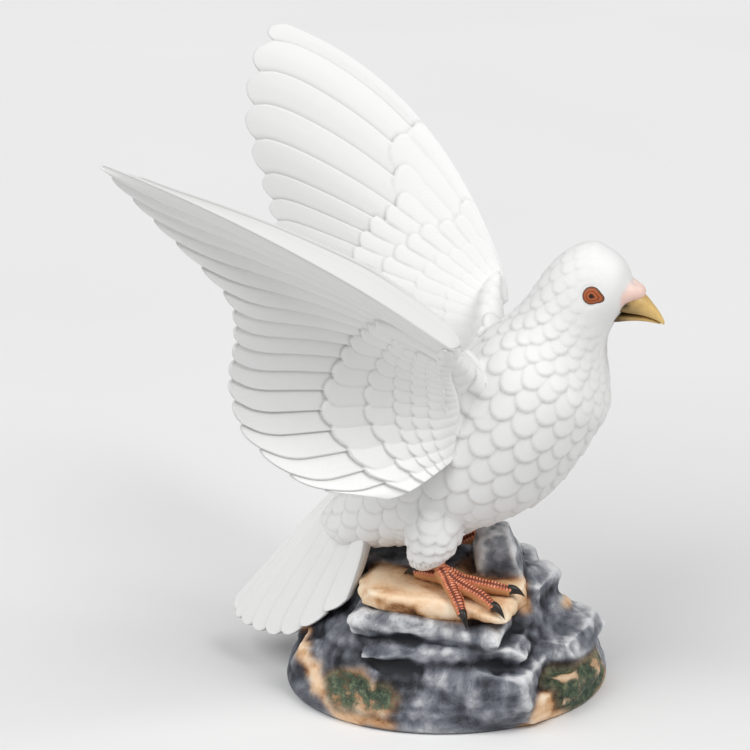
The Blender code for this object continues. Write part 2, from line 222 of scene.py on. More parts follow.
def drawn_points(piece):
    """A piece's points, back in the drawing's units, and its normals."""
    count = len(piece.data.vertices)
    points, normals = np.empty(count * 3, np.float32), np.empty(count * 3, np.float32)
    piece.data.vertices.foreach_get("co", points)
    piece.data.vertex_normals.foreach_get("vector", normals)
    return drawn(points.reshape(-1, 3)), normals.reshape(-1, 3).astype(float)


def move_points(piece, points):
    piece.data.vertices.foreach_set("co", placed(points).astype(np.float32).ravel())
    piece.data.update()


def part_of_statue(piece, finish):
    """Finishes a piece and makes it part of the one casting."""
    piece.data.materials.append(finish)
    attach(piece, "root")
    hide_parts(STATUE)


def write_values(piece, name, values):
    layer = piece.data.attributes.new(name, "FLOAT", "POINT")
    layer.data.foreach_set("value", np.asarray(values, np.float32).ravel())


def neighbours_mean(values, ends, rounds):
    """Values averaged over each point's neighbours, again and again."""
    count = np.bincount(ends.ravel(), minlength=len(values))[:, None]
    for _ in range(rounds):
        total = np.stack([np.bincount(ends[:, 0], values[ends[:, 1], i], len(values))
                          + np.bincount(ends[:, 1], values[ends[:, 0], i], len(values))
                          for i in range(values.shape[1])], -1)
        values = total / count
    return values


def edge_ends(piece):
    """The two points of every edge of a piece."""
    ends = np.empty(len(piece.data.edges) * 2, np.int32)
    piece.data.edges.foreach_get("vertices", ends)
    return ends.reshape(-1, 2)


def write_grooves(piece, height, full, rounds=4):
    """Where a carved face lies below what is around it, 0 to 1; full is the depth that counts as 1."""
    height = np.asarray(height, float).reshape(-1, 1)
    sunk = neighbours_mean(height, edge_ends(piece), rounds) - height
    write_values(piece, "groove", np.clip(sunk / full, 0, 1))


def feather_lift(points, feathers, blunt=0.45):
    """How far the topmost feather lifts each point, and where that point lies among its barbs. A
    feather is (root of its vane, way to its tip, normal, length, width, rise): a rounded tile that is
    thickest at its tip."""
    lift, barb = np.zeros(len(points)), np.zeros(len(points))
    for root, tipward, normal, length, width, rise in feathers:
        near = np.flatnonzero(np.abs(points - root).max(-1) < length)
        offset = points[near] - root
        along = offset @ tipward / length
        side = offset @ np.cross(normal, tipward) / (width / 2)
        past = np.maximum(along - blunt, 0) / (1 - blunt)
        tile = ease(0.0, 0.24, 1 - np.sqrt(side**2 + past**2)) ** 0.6
        height = rise * (0.10 + 0.90 * np.clip(along, 0, 1)) * (0.55 + 0.45 * (1 - side**2)) * tile
        height[(along < 0) | (np.abs(offset @ normal) > 0.5 * length)] = 0
        over = height > lift[near]
        lift[near[over]] = height[over]
        barb[near[over]] = (side * width / 1.7 + along * 1.2)[over]
    return lift, barb


def on_skin(skin, aim, flow):
    """The place on the skin nearest to aim, the skin's normal there, and flow laid along the skin."""
    spot, normal, _, _ = skin.find_nearest(Vector(placed(aim)))
    spot, normal = drawn(spot), np.array(normal)
    return spot, normal, unit(flow - normal * (flow @ normal))


def body_feathers(skin):
    """The rows of body feathers, laid on the skin from the face to the tail."""
    sizes = np.array(FEATHER_SIZES)
    feathers, station, row = [], 1.6, 0
    dice = np.random.RandomState(3)
    while station < LAST_STATION + 0.2:
        width, gap, rise = (np.interp(station, sizes[:, 0], sizes[:, i]) for i in (1, 2, 3))
        turns = np.linspace(0, 2 * math.pi, 400)
        ring = body_point(np.full(400, min(station, LAST_STATION)), turns)
        walked = np.concatenate([[0], np.cumsum(np.linalg.norm(np.diff(ring, axis=0), axis=1))])
        count = max(int(round(walked[-1] / (0.84 * width))), 6)
        starts = (np.arange(count) + 0.5 * (row % 2) + dice.uniform(-0.08, 0.08, count)) / count
        for turn in np.interp(starts * walked[-1] % walked[-1], walked, turns):
            late = dice.uniform(-0.06, 0.06)
            here, ahead = body_point(np.array([station + late, station + late + 0.2]), np.full(2, turn))
            spot, normal, flow = on_skin(skin, here, unit(ahead - here) + (0, 0, -0.55))
            length = (1.05 * gap + 0.55 * width) * dice.uniform(0.94, 1.08)
            crown = 0.25 + 0.75 * ease(2.0, 5.5, station) if here[2] > 180 else 1.0
            feathers.append((spot - flow * 0.5 * length, flow, normal, length, width * 1.04,
                             rise * crown * dice.uniform(0.9, 1.1)))
        flank = body_point(np.array([station, station + 0.1]), np.full(2, math.pi * 0.55))
        station += 0.1 * gap / np.linalg.norm(flank[1] - flank[0])
        row += 1
    return feathers


def arm_feathers(skin, side):
    """Small close scales along the arm on both faces, all pointing back to the flight feathers."""
    feathers = []
    rings = arm_rings(side, 64)
    for row, at in enumerate(ARM_ROWS):
        width = 9.0 - 3.0 * at / 38
        ring = rings[at]
        walked = np.concatenate([[0], np.cumsum(np.linalg.norm(np.diff(ring, axis=0), axis=1))])
        count = int(walked[-1] / (0.85 * width))
        for i in range(count):
            aim = ring[int(np.searchsorted(walked, walked[-1] * ((i + 0.5 * (row % 2)) / count % 1)))]
            spot, normal, flow = on_skin(skin, aim, np.array([-0.80, 0.35 * side, -0.45]))
            feathers.append((spot - flow * 0.55 * width, flow, normal, 1.25 * width, width, 0.7))
    return feathers


def thigh_feathers(skin, side):
    """A few large soft feathers over each thigh, and a fringe of narrow ones round its cuff."""
    feathers = []
    for height, count, width, length, rise in THIGH_ROWS:
        for i in range(count):
            turn = math.radians(-100 + 200 * (i + 0.5 * (height % 2)) / count)
            aim = np.array([5 + 20 * math.sin(turn), side * (24 + 20 * math.cos(turn)), height])
            spot, normal, flow = on_skin(skin, aim, np.array([0.05, 0, -1.0]))
            feathers.append((spot - flow * 0.5 * length, flow, normal, length, width, rise))
    return feathers


def add_node(tree, kind, links=(), **settings):
    """A node with its settings, and its inputs: each a value, or an output to link."""
    node = tree.nodes.new(kind)
    for key, value in settings.items():
        setattr(node, key, value)
    for socket, value in dict(links).items():
        if isinstance(value, bpy.types.NodeSocket):
            tree.links.new(value, node.inputs[socket])
        else:
            node.inputs[socket].default_value = value
    return node


def finish_material(name, roughness):
    """A new matt finish: its tree, its shader and the drawn places of the surface, in metres."""
    material = bpy.data.materials.new(name)
    material.use_nodes = True
    tree = material.node_tree
    shader = tree.nodes["Principled BSDF"]
    shader.inputs["Roughness"].default_value = roughness
    shader.inputs["Specular IOR Level"].default_value = 0.35
    where = add_node(tree, "ShaderNodeTexCoord").outputs["Object"]
    return material, tree, shader, where


def ramp(tree, factor, stops):
    """A colour that runs through stops, each its place and its colour."""
    node = add_node(tree, "ShaderNodeValToRGB", {"Fac": factor})
    elements = node.color_ramp.elements
    while len(elements) < len(stops):
        elements.new(0.5)
    for element, (spot, colour) in zip(elements, stops):
        element.position, element.color = spot, (*colour, 1)
    return node.outputs["Color"]


def mixed(tree, factor, first, second):
    """The first colour where the factor is 0, and the second where it is 1."""
    node = add_node(tree, "ShaderNodeMix", data_type="RGBA")
    sockets = (node.inputs["Factor"], node.inputs[6], node.inputs[7])
    for socket, value in zip(sockets, (factor, first, second)):
        if isinstance(value, bpy.types.NodeSocket):
            tree.links.new(value, socket)
        else:
            socket.default_value = (*value, 1) if isinstance(value, tuple) else value
    return node.outputs[2]


def maths(tree, operation, first, second=0.0, third=0.0):
    return add_node(tree, "ShaderNodeMath", {0: first, 1: second, 2: third}, operation=operation).outputs[0]


def surface_value(tree, name):
    """A value that the mesh's points carry."""
    return add_node(tree, "ShaderNodeAttribute", attribute_name=name).outputs["Fac"]


def clouds(tree, where, scale, detail, **more):
    """Cloudy noise from 0 to 1, scale in lumps a metre."""
    links = {"Vector": where, "Scale": scale, "Detail": detail, **more}
    return add_node(tree, "ShaderNodeTexNoise", links).outputs["Fac"]


def roughened(tree, shader, height, strength, depth):
    """Relief too fine for the mesh."""
    bump = add_node(tree, "ShaderNodeBump", {"Height": height, "Strength": strength, "Distance": depth})
    tree.links.new(bump.outputs["Normal"], shader.inputs["Normal"])


def scribed(tree, shader, where, barb_depth):
    """Barbs scribed along the vanes and the faint tooth of unglazed porcelain."""
    phase = maths(tree, "MULTIPLY", surface_value(tree, "barb"), 2 * math.pi)
    wobble = clouds(tree, where, 420.0, 2.0)
    lines = maths(tree, "SINE", maths(tree, "MULTIPLY_ADD", wobble, 2.2, phase))
    tooth = clouds(tree, where, 2600.0, 3.0)
    first = add_node(tree, "ShaderNodeBump", {"Height": lines, "Strength": barb_depth, "Distance": 0.00012})
    second = add_node(tree, "ShaderNodeBump", {"Height": tooth, "Strength": 0.12, "Distance": 0.00008,
                                               "Normal": first.outputs["Normal"]})
    tree.links.new(second.outputs["Normal"], shader.inputs["Normal"])


BISQUE_WHITE = (0.80, 0.80, 0.795)
# Painted shade: a grey mixed into the white bisque in the carving's grooves, standing in for the shadow there,
# and its full strength
PAINTED_GROOVE_SHADE = (0.40, 0.39, 0.37)
GROOVE_SHADE_STRENGTH = 0.66
CERE_BLUSH = (0.85, 0.60, 0.52)


def bisque_with_painted_groove_shade(tree, white):
    """Bisque with painted shade mixed in where the carving's grooves lie deep, standing in for their shadow."""
    painted_shade = maths(tree, "MULTIPLY", surface_value(tree, "groove"), GROOVE_SHADE_STRENGTH)
    return mixed(tree, painted_shade, white, PAINTED_GROOVE_SHADE)


# Painted rings of the eye, from the pupil to its dark lid
EYE_RINGS = [(0.0, (0.006, 0.004, 0.004)), (0.20, (0.03, 0.012, 0.008)), (0.32, (0.40, 0.10, 0.03)),
             (0.48, (0.42, 0.12, 0.035)), (0.53, (0.10, 0.008, 0.004)), (0.60, (0.36, 0.08, 0.025)),
             (0.76, (0.46, 0.14, 0.045)), (0.82, (0.09, 0.02, 0.01)), (0.88, (0.38, 0.12, 0.05)),
             (0.93, (0.03, 0.012, 0.01)), (0.985, (0.012, 0.008, 0.008)), (1.0, BISQUE_WHITE)]


def body_finish():
    """Bisque with painted shade in the carving's grooves, the painted eyes and the blush of the cere."""
    material, tree, shader, where = finish_material("painted_bisque", 0.55)
    scribed(tree, shader, where, 0.20)
    eye_place = tuple(placed((EYE[0], 0, EYE[1])))
    from_eye = add_node(tree, "ShaderNodeVectorMath", {0: where, 1: eye_place}, operation="SUBTRACT")
    turned = add_node(tree, "ShaderNodeVectorRotate",
                      {"Vector": from_eye.outputs[0], "Angle": math.radians(-EYE_DIP)}, rotation_type="Y_AXIS")
    apart = add_node(tree, "ShaderNodeSeparateXYZ", {0: turned.outputs[0]})
    forward, upward = apart.outputs["X"], apart.outputs["Z"]
    squared = maths(tree, "MULTIPLY_ADD", forward, forward, maths(tree, "MULTIPLY", upward, upward))
    reach = maths(tree, "SQRT", squared)
    ahead = maths(tree, "MAXIMUM", maths(tree, "DIVIDE", forward, reach), 0.0)
    corner = maths(tree, "POWER", ahead, EYE_POINT)
    radius = maths(tree, "MULTIPLY_ADD", corner, EYE_CORNER * EYE_RADIUS * UNIT, EYE_RADIUS * UNIT)
    ring = maths(tree, "DIVIDE", reach, radius)
    blush = mixed(tree, surface_value(tree, "cere"), BISQUE_WHITE, CERE_BLUSH)
    inside = maths(tree, "LESS_THAN", ring, 1.0)
    painted = mixed(tree, inside, bisque_with_painted_groove_shade(tree, blush), ramp(tree, ring, EYE_RINGS))
    tree.links.new(painted, shader.inputs["Base Color"])
    return material


body_rings = body_point(np.linspace(0, LAST_STATION, 91)[:, None] + np.zeros((1, 96)),
                        np.linspace(0, 2 * math.pi, 96, endpoint=False)[None, :] + np.zeros((91, 1)))
shells = [closed_tube(body_rings)]
for side in (-1, 1):
    shells += [closed_tube(arm_rings(side)), closed_tube(limb_rings(LEG, side))]
    shells += [ball((x, side * y, z), radius) for (x, y, z), radius in CERE]
body = fused("dove_body", shells, BODY_VOXEL, BODY_SMOOTHING)
body_skin = BVHTree.FromPolygons([point.co for point in body.data.vertices],
                                 [tile.vertices for tile in body.data.polygons])
points, normals = drawn_points(body)
coat = body_feathers(body_skin)
for side in (-1, 1):
    coat += arm_feathers(body_skin, side) + thigh_feathers(body_skin, side)
lift, barb = feather_lift(points, coat)
face = ease(64, 70, points[:, 0]) * ease(180, 190, points[:, 2])
from_eye = np.hypot(points[:, 0] - EYE[0], points[:, 2] - EYE[1])
socket = (1 - ease(1.0, 1.5, from_eye / EYE_RADIUS)) * (np.abs(points[:, 1]) > 8)
ball_of_eye = EYE_BULGE * np.sqrt(np.clip(1 - (from_eye / EYE_RADIUS) ** 2, 0, 1)) - EYE_SOCKET * socket
move_points(body, points + normals * (lift * (1 - face) * (1 - socket) + ball_of_eye * socket)[:, None])
write_values(body, "barb", barb * (1 - face))
# The carving's depth, written here, darkens the grooves with painted shade in the bisque
write_grooves(body, lift * (1 - face) * (1 - socket), 0.55)
cere_reach = np.min([np.linalg.norm(np.abs(points) - centre, axis=1) / (radius + 1.2)
                     for centre, radius in CERE], axis=0)
write_values(body, "cere", (1 - ease(0.72, 1.12, cere_reach)) * (1 - 0.35 * ease(194, 200, points[:, 2])))
part_of_statue(body, body_finish())

# Wings: each a thin fan of seventeen flight feathers sprung from the arm, with rows of coverts over
# their roots. They are cast apart, luted to the shoulders and scribed with shafts and barbs.
FLIGHT_FEATHERS = 17
FLIGHT_WALL = 3.4
FLIGHT_STEP = 1.25
BARB_SPACING = 1.6
NOSE = 0.07                # share of a feather's length over which the wing's root is rounded off
# Where feathers spring from the arm and end, keyed by feather from the front edge, how far a
# feather's middle stands off the straight, how the thick front edge swells, and where the feathers
# part, if not evenly
RIGHT_WING = {
    "roots": [(0, 11, -57, 183), (3, 8, -52, 178), (6, 6, -46, 170), (11, 7, -39, 153), (17, 9, -35, 124)],
    "tips": [(0, -110, -130, 271), (3, -92, -109, 240), (6, -71, -89, 205), (8, -71, -82, 188),
             (11, -75, -77, 162), (13, -69, -74, 141), (15, -45, -68, 120), (17, -14, -54, 111)],
    "bows": [(0, 0, -3, 6), (4, 0, 6, 3), (8, 0, 11, 2), (13, -2, 8, -4), (17, 0, -3, -3)],
    "hood": (0, 9, 11),
}
LEFT_WING = {
    "roots": [(0, 13, 57, 180), (3, 9, 52, 176), (6, 6, 46, 169), (11, 7, 39, 153), (17, 9, 35, 124)],
    "tips": [(0, -114, 130, 273), (1, -121, 123, 262), (3, -124, 111, 233), (6, -109, 96, 193),
             (9, -98, 84, 168), (11, -90, 79, 153), (13, -74, 75, 137), (15, -47, 68, 120),
             (17, -15, 53, 113)],
    "bows": [(0, 11, 3, 16), (4, 3, -5, 8), (8, 0, -9, 3), (13, -2, -8, -3), (17, 0, 3, -3)],
    "hood": (2, 7, -3),
    "borders": [0, 0.5, 1.5, 2.5, 3.6, 4.7, 5.6, 6.5, 7.4, 8.4, 9.4, 10.4, 11.4, 12.4, 13.4, 14.4, 15.3,
                16.2, 17],
}
# Rows of coverts, the longest first: how far along the flight feathers each row ends (keys: feather,
# share), the first and last feather it covers, its number of tiles, their thickness and how far from
# the end their rounding starts
UNDER_COVERTS = [([(3, 0.20), (5.5, 0.36), (8, 0.50), (10, 0.56), (12, 0.61), (14, 0.585), (17, 0.66)],
                  (3.6, 17.2), 12, 3.2, 0.10),
                 ([(4, 0.17), (8, 0.32), (10.4, 0.385), (12, 0.40), (14, 0.38), (17, 0.42)],
                  (5.0, 17.2), 11, 3.0, 0.09),
                 ([(4, 0.12), (7, 0.22), (11, 0.25), (14, 0.255), (17, 0.28)], (5.5, 17.2), 12, 2.5, 0.07),
                 ([(4, 0.07), (7, 0.14), (12, 0.165), (17, 0.18)], (5.0, 17.2), 13, 2.1, 0.06),
                 ([(4, 0.02), (7, 0.06), (12, 0.08), (17, 0.10)], (5, 17.2), 14, 1.6, 0.05)]
OVER_COVERTS = [([(0, 0.42), (0.65, 0.475), (1.4, 0.485), (2.2, 0.445), (3.1, 0.40), (4, 0.42), (5.5, 0.52),
                  (7.5, 0.60), (12, 0.62), (17, 0.70)], (0.0, 17), 18, 1.4, 0.05),
                ([(0, 0.25), (1, 0.20), (2.5, 0.22), (4, 0.295), (5.2, 0.35), (7, 0.445), (12, 0.46),
                  (17, 0.50)], (0.2, 17), 16, 1.2, 0.055),
                ([(1, 0.12), (3.5, 0.155), (5, 0.215), (7, 0.285), (12, 0.30), (17, 0.32)],
                 (1.0, 17), 14, 0.7, 0.055),
                ([(1, 0.05), (4, 0.08), (7, 0.15), (12, 0.17), (17, 0.19)], (1.0, 17), 14, 0.5, 0.05)]


def fan_point(fan, feather, along):
    """Places on a fan, by feather from its front edge and share of the feather's length."""
    root, tip, bow = (curve_through(fan[name], feather) for name in ("roots", "tips", "bows"))
    along = np.asarray(along)[..., None]
    return root + (tip - root) * along + bow * 4 * along * (1 - along)


def fan_normal(fan, feather, along, last):
    """Way off the fan's face that the photograph's side shows."""
    low_side, high_side = np.clip(feather - 0.2, 0, last), np.clip(feather + 0.2, 0, last)
    across = fan_point(fan, high_side, along) - fan_point(fan, low_side, along)
    lengthwise = fan_point(fan, feather, along + 0.02) - fan_point(fan, feather, along - 0.02)
    return unit(np.cross(lengthwise, across))


def laid_coverts(rows, feather, along, upper_over):
    """Height of rows of coverts, laid from the longest to the arm and each over its lower or upper
    neighbour; how far the flight feathers are hidden; and where each point lies among the barbs."""
    height, hidden, barb = (np.zeros(feather.shape) for _ in range(3))
    base = 0.0
    for ends, (first, final), count, rise, rounding in rows:
        slope = 2.1 * rounding
        gap = (final - first) / count
        middles = first + gap * (np.arange(count) + 0.5)
        for middle in middles[::-1] if upper_over else middles:
            end = curve_through(ends, np.array(middle))[0]
            across = (feather - middle) / (0.80 * gap)
            past = np.maximum(along - (end - rounding), 0) / rounding
            edge = ease(0.0, 0.17, 1 - np.sqrt(across**2 + past**2))
            lean = across if upper_over else -across
            slant = np.clip(1 - (end - along) / slope, 0, 1)
            tile = base + rise * (0.05 + 0.45 * slant + 0.16 * lean + 0.38 * (1 - across**2))
            height = height * (1 - edge) + tile * edge
            hidden = np.maximum(hidden, edge)
            barb = np.where(edge > 0.5, along * 60 + np.abs(across) * 3, barb)
        base += 0.12 * rise
    return height, hidden, barb


def fan_piece(name, fan, count, wall, step, top_over, front_rows, back_rows, columns=15, rows=178):
    """A wing or tail as one skin: two carved faces, a rounded front edge, scalloped thinning tips.
    top_over says whether each feather's upper edge lies over its neighbour on the shown face."""
    cuts = np.concatenate([[0.0, 0.035, 0.075], np.linspace(0.13, 0.87, columns - 5), [0.925, 0.965]])
    borders = np.array(fan.get("borders", range(count + 1)), float)
    feather = np.append((borders[:-1, None] + np.diff(borders)[:, None] * cuts).ravel(), count)
    share = np.append(np.tile(cuts, len(borders) - 1), 1.0)
    nose = -NOSE * np.cos(np.linspace(0, math.pi / 2, 9))[:-1]
    middle, tips = int(rows * 0.74), int(rows * 0.22)
    along = np.concatenate([nose, np.linspace(0, 0.80, middle), np.linspace(0.80, 1, tips + 1)[1:]])
    f, t = np.meshgrid(feather, along, indexing="ij")
    blunt = np.sqrt(1 - np.clip(-t / NOSE, 0, 1) ** 2)[..., None]
    t = np.where(t < 0, t * (0.2 + 0.8 * np.sqrt(np.clip(f / 2.5, 0, 1))), t)
    s = np.meshgrid(share, along, indexing="ij")[0]
    tip = np.clip((t - 0.80) / 0.20, 0, 1) ** 2.2
    bend = (0.25 if top_over else 0.55) * tip * ease(0.0, 0.8, f) * ease(0.0, 0.8, count - f)
    warped = np.clip(f + (bend if top_over else -bend), 0, count)
    peak = s ** (1.2 if top_over else 0.83)
    reach = 1 - (0.036 if top_over else 0.022) * np.abs(2 * peak - 1) ** 2.4 * ease(0.90, 1.0, t)
    place = fan_point(fan, warped, t * reach)
    normal = fan_normal(fan, warped, t * reach, count)
    over = (1 - s) if top_over else s
    shaft = 0.42 if top_over else 0.58
    ridge = 0.12 * np.exp(-((s - shaft) / 0.035) ** 2) * (1 - ease(0.93, 1.0, t))
    flight = step * (over - 0.5) * ease(0, 0.3, t) + 0.30 * (1 - (2 * s - 1) ** 2) + ridge
    span = fan_point(fan, f, np.ones(f.shape)) - fan_point(fan, f, np.zeros(f.shape))
    vane = t * np.linalg.norm(span, axis=-1) / BARB_SPACING + np.abs(s - shaft) * 5
    thin = np.interp(t, [0, 0.55, 0.9, 1], [1.15, 1.0, 0.75, 0.42])
    lead = 0.25 + 0.75 * np.sqrt(ease(0, 1.6, f))
    hood = np.array(fan.get("hood", (0, 0, 0)), float)
    roof = (np.sqrt(ease(0, 1.4, f)) * (1 - ease(1.2, 4.6, f)) * (1 - 0.75 * np.clip(t, 0, 1))
            * (0.50 + 0.50 * ease(-NOSE, 0.30, t)) * (1 - ease(0.92, 1.0, t)))
    front_cover, front_hidden, front_barb = laid_coverts(front_rows, f, t, not top_over)
    back_cover, back_hidden, back_barb = laid_coverts(back_rows, f, t, top_over)
    under_hood = ease(0.8, 4.0, f)
    back_cover, back_hidden = back_cover * under_hood, back_hidden * under_hood
    front = place + normal * (flight * (1 - front_hidden) + front_cover * ease(0, 0.5, f))[..., None]
    behind = (place - normal * (wall * thin * lead - flight * 0.9 * (1 - back_hidden)
                                + back_cover)[..., None] + hood * roof[..., None])
    heart = (front + behind) / 2
    front, behind = heart + (front - heart) * blunt, heart + (behind - heart) * blunt
    rings = np.concatenate([front, behind[:, ::-1]], 1)
    around = rings.shape[1]
    faces = [(r * around + c, r * around + (c + 1) % around, (r + 1) * around + (c + 1) % around,
              (r + 1) * around + c) for r in range(len(rings) - 1) for c in range(around)]
    last_row = (len(rings) - 1) * around
    for c in range(around // 2 - 1):
        d = around - 1 - c
        faces.append((c + 1, c, d, d - 1))
        faces.append((last_row + c, last_row + c + 1, last_row + d - 1, last_row + d))
    piece = new_piece(name, rings.reshape(-1, 3), faces)
    front_barb = np.where(front_hidden > 0.5, front_barb, vane)
    back_barb = np.where(back_hidden > 0.5, back_barb, vane)
    write_values(piece, "barb", np.concatenate([front_barb, back_barb[:, ::-1]], 1))
    carved = [flight * (1 - front_hidden) + front_cover, back_cover - flight * 0.9 * (1 - back_hidden)]
    # The carving's depth, written here, darkens the grooves with painted shade in the bisque
    write_grooves(piece, np.concatenate([carved[0], carved[1][:, ::-1]], 1), 0.40, 3)
    return piece


def feather_finish():
    """Bisque with painted shade in the carving's grooves, and scribed barbs."""
    material, tree, shader, where = finish_material("scribed_bisque", 0.55)
    tree.links.new(bisque_with_painted_groove_shade(tree, BISQUE_WHITE), shader.inputs["Base Color"])
    scribed(tree, shader, where, 0.10)
    return material


bisque = feather_finish()
right_wing = fan_piece("right_wing", RIGHT_WING, FLIGHT_FEATHERS, FLIGHT_WALL, FLIGHT_STEP, False,
                       UNDER_COVERTS, OVER_COVERTS)
left_wing = fan_piece("left_wing", LEFT_WING, FLIGHT_FEATHERS, FLIGHT_WALL, FLIGHT_STEP, True,
                      OVER_COVERTS, UNDER_COVERTS)
for wing in (right_wing, left_wing):
    part_of_statue(wing, bisque)

# Tail: a closed fan of eight long feathers under the coverts of the rump. It is white bisque like the
# wings, and cast in one with the body.
TAIL_FEATHERS = 8
TAIL_WALL = 4.2
TAIL_STEP = 1.5
TAIL = {
    "roots": [(0, -56, 9, 84), (3, -50, 3, 87), (5, -42, -8, 85), (8, -33, -19, 78)],
    "tips": [(0, -104, 13, 23), (2, -99, 3, 19), (4, -85, -8, 19), (6, -66, -18, 25), (8, -40, -26, 47)],
    "bows": [(0, 0, 0, 0), (4, 1, 0, 3), (8, 2, 0, 3)],
}
tail = fan_piece("tail", TAIL, TAIL_FEATHERS, TAIL_WALL, TAIL_STEP, True, [], [], rows=120)
part_of_statue(tail, bisque)

# Beak: upper and lower bill as two closed horn shapes, sculpted with the head and painted ochre, with
# near-black painted shade along the closed gape and round the nostril. Its rows are x, top, bottom and
# half-width.
UPPER_BILL = [(70, 192.0, 186.0, 6.6), (74, 193.0, 185.2, 7.3), (78, 193.6, 184.7, 6.9),
              (82, 193.6, 184.2, 5.9), (85.6, 192.0, 183.6, 4.7), (88.8, 188.6, 182.5, 3.3),
              (91.0, 186.0, 181.5, 2.3), (92.8, 183.4, 180.4, 1.4), (93.9, 181.4, 179.8, 0.6)]
LOWER_BILL = [(70, 185.4, 180.2, 6.0), (74, 184.8, 180.6, 6.4), (78, 184.4, 181.2, 5.6),
              (82, 183.9, 181.5, 4.4), (86, 183.2, 181.2, 3.1), (89.5, 182.1, 180.7, 2.0),
              (92.2, 180.7, 180.1, 0.8)]
NOSTRIL, NOSTRIL_DEPTH = (77.6, 6.9, 189.0), 0.7
BROWN_END, OCHRE_END = (71, 0, 0), (94, 0, 0)      # between them the paint goes from brown to ochre


def bill(rows, columns=40, lengths=90):
    """A bill lofted through (x, top, bottom, half-width), squarer below than along its ridge."""
    x = np.linspace(rows[0][0], rows[-1][0], lengths)
    top, bottom, half = curve_through(rows, x).T
    turn = np.linspace(0, 2 * math.pi, columns, endpoint=False)
    up, out = np.cos(turn), np.sin(turn)
    up = np.sign(up) * np.abs(up) ** np.where(up < 0, 0.55, 0.9)
    out = np.sign(out) * np.abs(out) ** 0.85
    height = (top + bottom)[:, None] / 2 + (top - bottom)[:, None] / 2 * up
    return np.stack([x[:, None] + 0 * up, half[:, None] * out, height], -1)


def beak_finish():
    """Ochre paint, brown at the root, with near-black painted shade in the gape and the nostril."""
    material, tree, shader, where = finish_material("ochre_bill_paint", 0.42)
    length = add_node(tree, "ShaderNodeSeparateXYZ", {0: where}).outputs["X"]
    start, end = placed(BROWN_END)[0], placed(OCHRE_END)[0]
    share = add_node(tree, "ShaderNodeMapRange", {"Value": length, "From Min": start, "From Max": end})
    smear = clouds(tree, where, 260.0, 5.0)
    along = maths(tree, "MULTIPLY_ADD", maths(tree, "SUBTRACT", smear, 0.5), 0.45, share.outputs["Result"])
    horn = ramp(tree, along,
                [(0.0, (0.045, 0.028, 0.012)), (0.20, (0.13, 0.08, 0.025)), (0.42, (0.42, 0.28, 0.11)),
                 (0.62, (0.72, 0.48, 0.18)), (0.92, (0.84, 0.58, 0.22))])
    streak = clouds(tree, where, 900.0, 4.0)
    horn = mixed(tree, maths(tree, "MULTIPLY", streak, 0.35), horn, (0.20, 0.12, 0.045))
    # Near-black painted shade along the gape and in the nostril, standing in for their shadow
    painted = mixed(tree, surface_value(tree, "dark"), horn, (0.018, 0.011, 0.008))
    tree.links.new(painted, shader.inputs["Base Color"])
    roughened(tree, shader, streak, 0.15, 0.0001)
    return material


beak = new_piece("beak", *joined([closed_tube(bill(rows)) for rows in (UPPER_BILL, LOWER_BILL)]))
points, normals = drawn_points(beak)
nostril = np.linalg.norm((np.abs(points) - NOSTRIL) * (0.55, 1, 1.1), axis=1)
move_points(beak, points - normals * (NOSTRIL_DEPTH * np.exp(-(nostril / 0.9) ** 2))[:, None])
# Painted shade along the closed gape, fading towards the tip, and in the nostril's hollow
gape = curve_through([(x, bottom) for x, _, bottom, _ in UPPER_BILL], points[:, 0])[:, 0]
painted_gape_shade = np.exp(-((points[:, 2] - gape) / 0.55) ** 2) * (1 - 0.88 * ease(73, 81, points[:, 0]))
write_values(beak, "dark", np.clip(painted_gape_shade + 0.9 * np.exp(-(nostril / 1.1) ** 2), 0, 1))
part_of_statue(beak, beak_finish())

# Feet: four toes each, modelled by hand with rows of scutes along the top, painted coral red, darker
# brown between the scutes, and near-black claws.
TOES = {
    "right_shank": [(0, -26, 77), (2.8, -27, 71), (5.5, -27, 65)],
    "right_hind": [(6, -25, 63.5), (0, -21, 62), (-9, -18, 61)],
    "right_outer": [(4, -27, 68), (8.5, -31, 63.5), (13.5, -38, 59.8), (17, -43, 55.5)],
    "right_middle": [(5, -27, 67), (13, -30, 63), (23, -34, 60.5), (29.5, -37, 57.5)],
    "right_inner": [(6, -26, 66), (14, -25.5, 63), (25, -24, 61), (34, -23, 59.5)],
    "left_shank": [(0, 26, 77), (3.5, 26, 70), (8, 26, 62)],
    "left_hind": [(9, 25, 62), (0, 22, 58), (-8, 20, 57)],
    "left_outer": [(10, 26, 62), (13, 33, 58), (17, 40, 55)],
    "left_middle": [(11, 26, 62), (17, 29, 58), (24, 32, 55)],
    "left_inner": [(11, 25, 62), (18, 24, 58), (25, 23, 55)],
}
TOE_RADIUS = 3.35
CLAW_LENGTH, CLAW_SUNK = 6.8, 1.4
SCUTE_SPACING = 1.35
# Scutes in each row: their turn round the toe in degrees, and their width and height in toe radii
SCUTES = [(0, 0.50, 0.36), (56, 0.30, 0.22), (-56, 0.30, 0.22)]


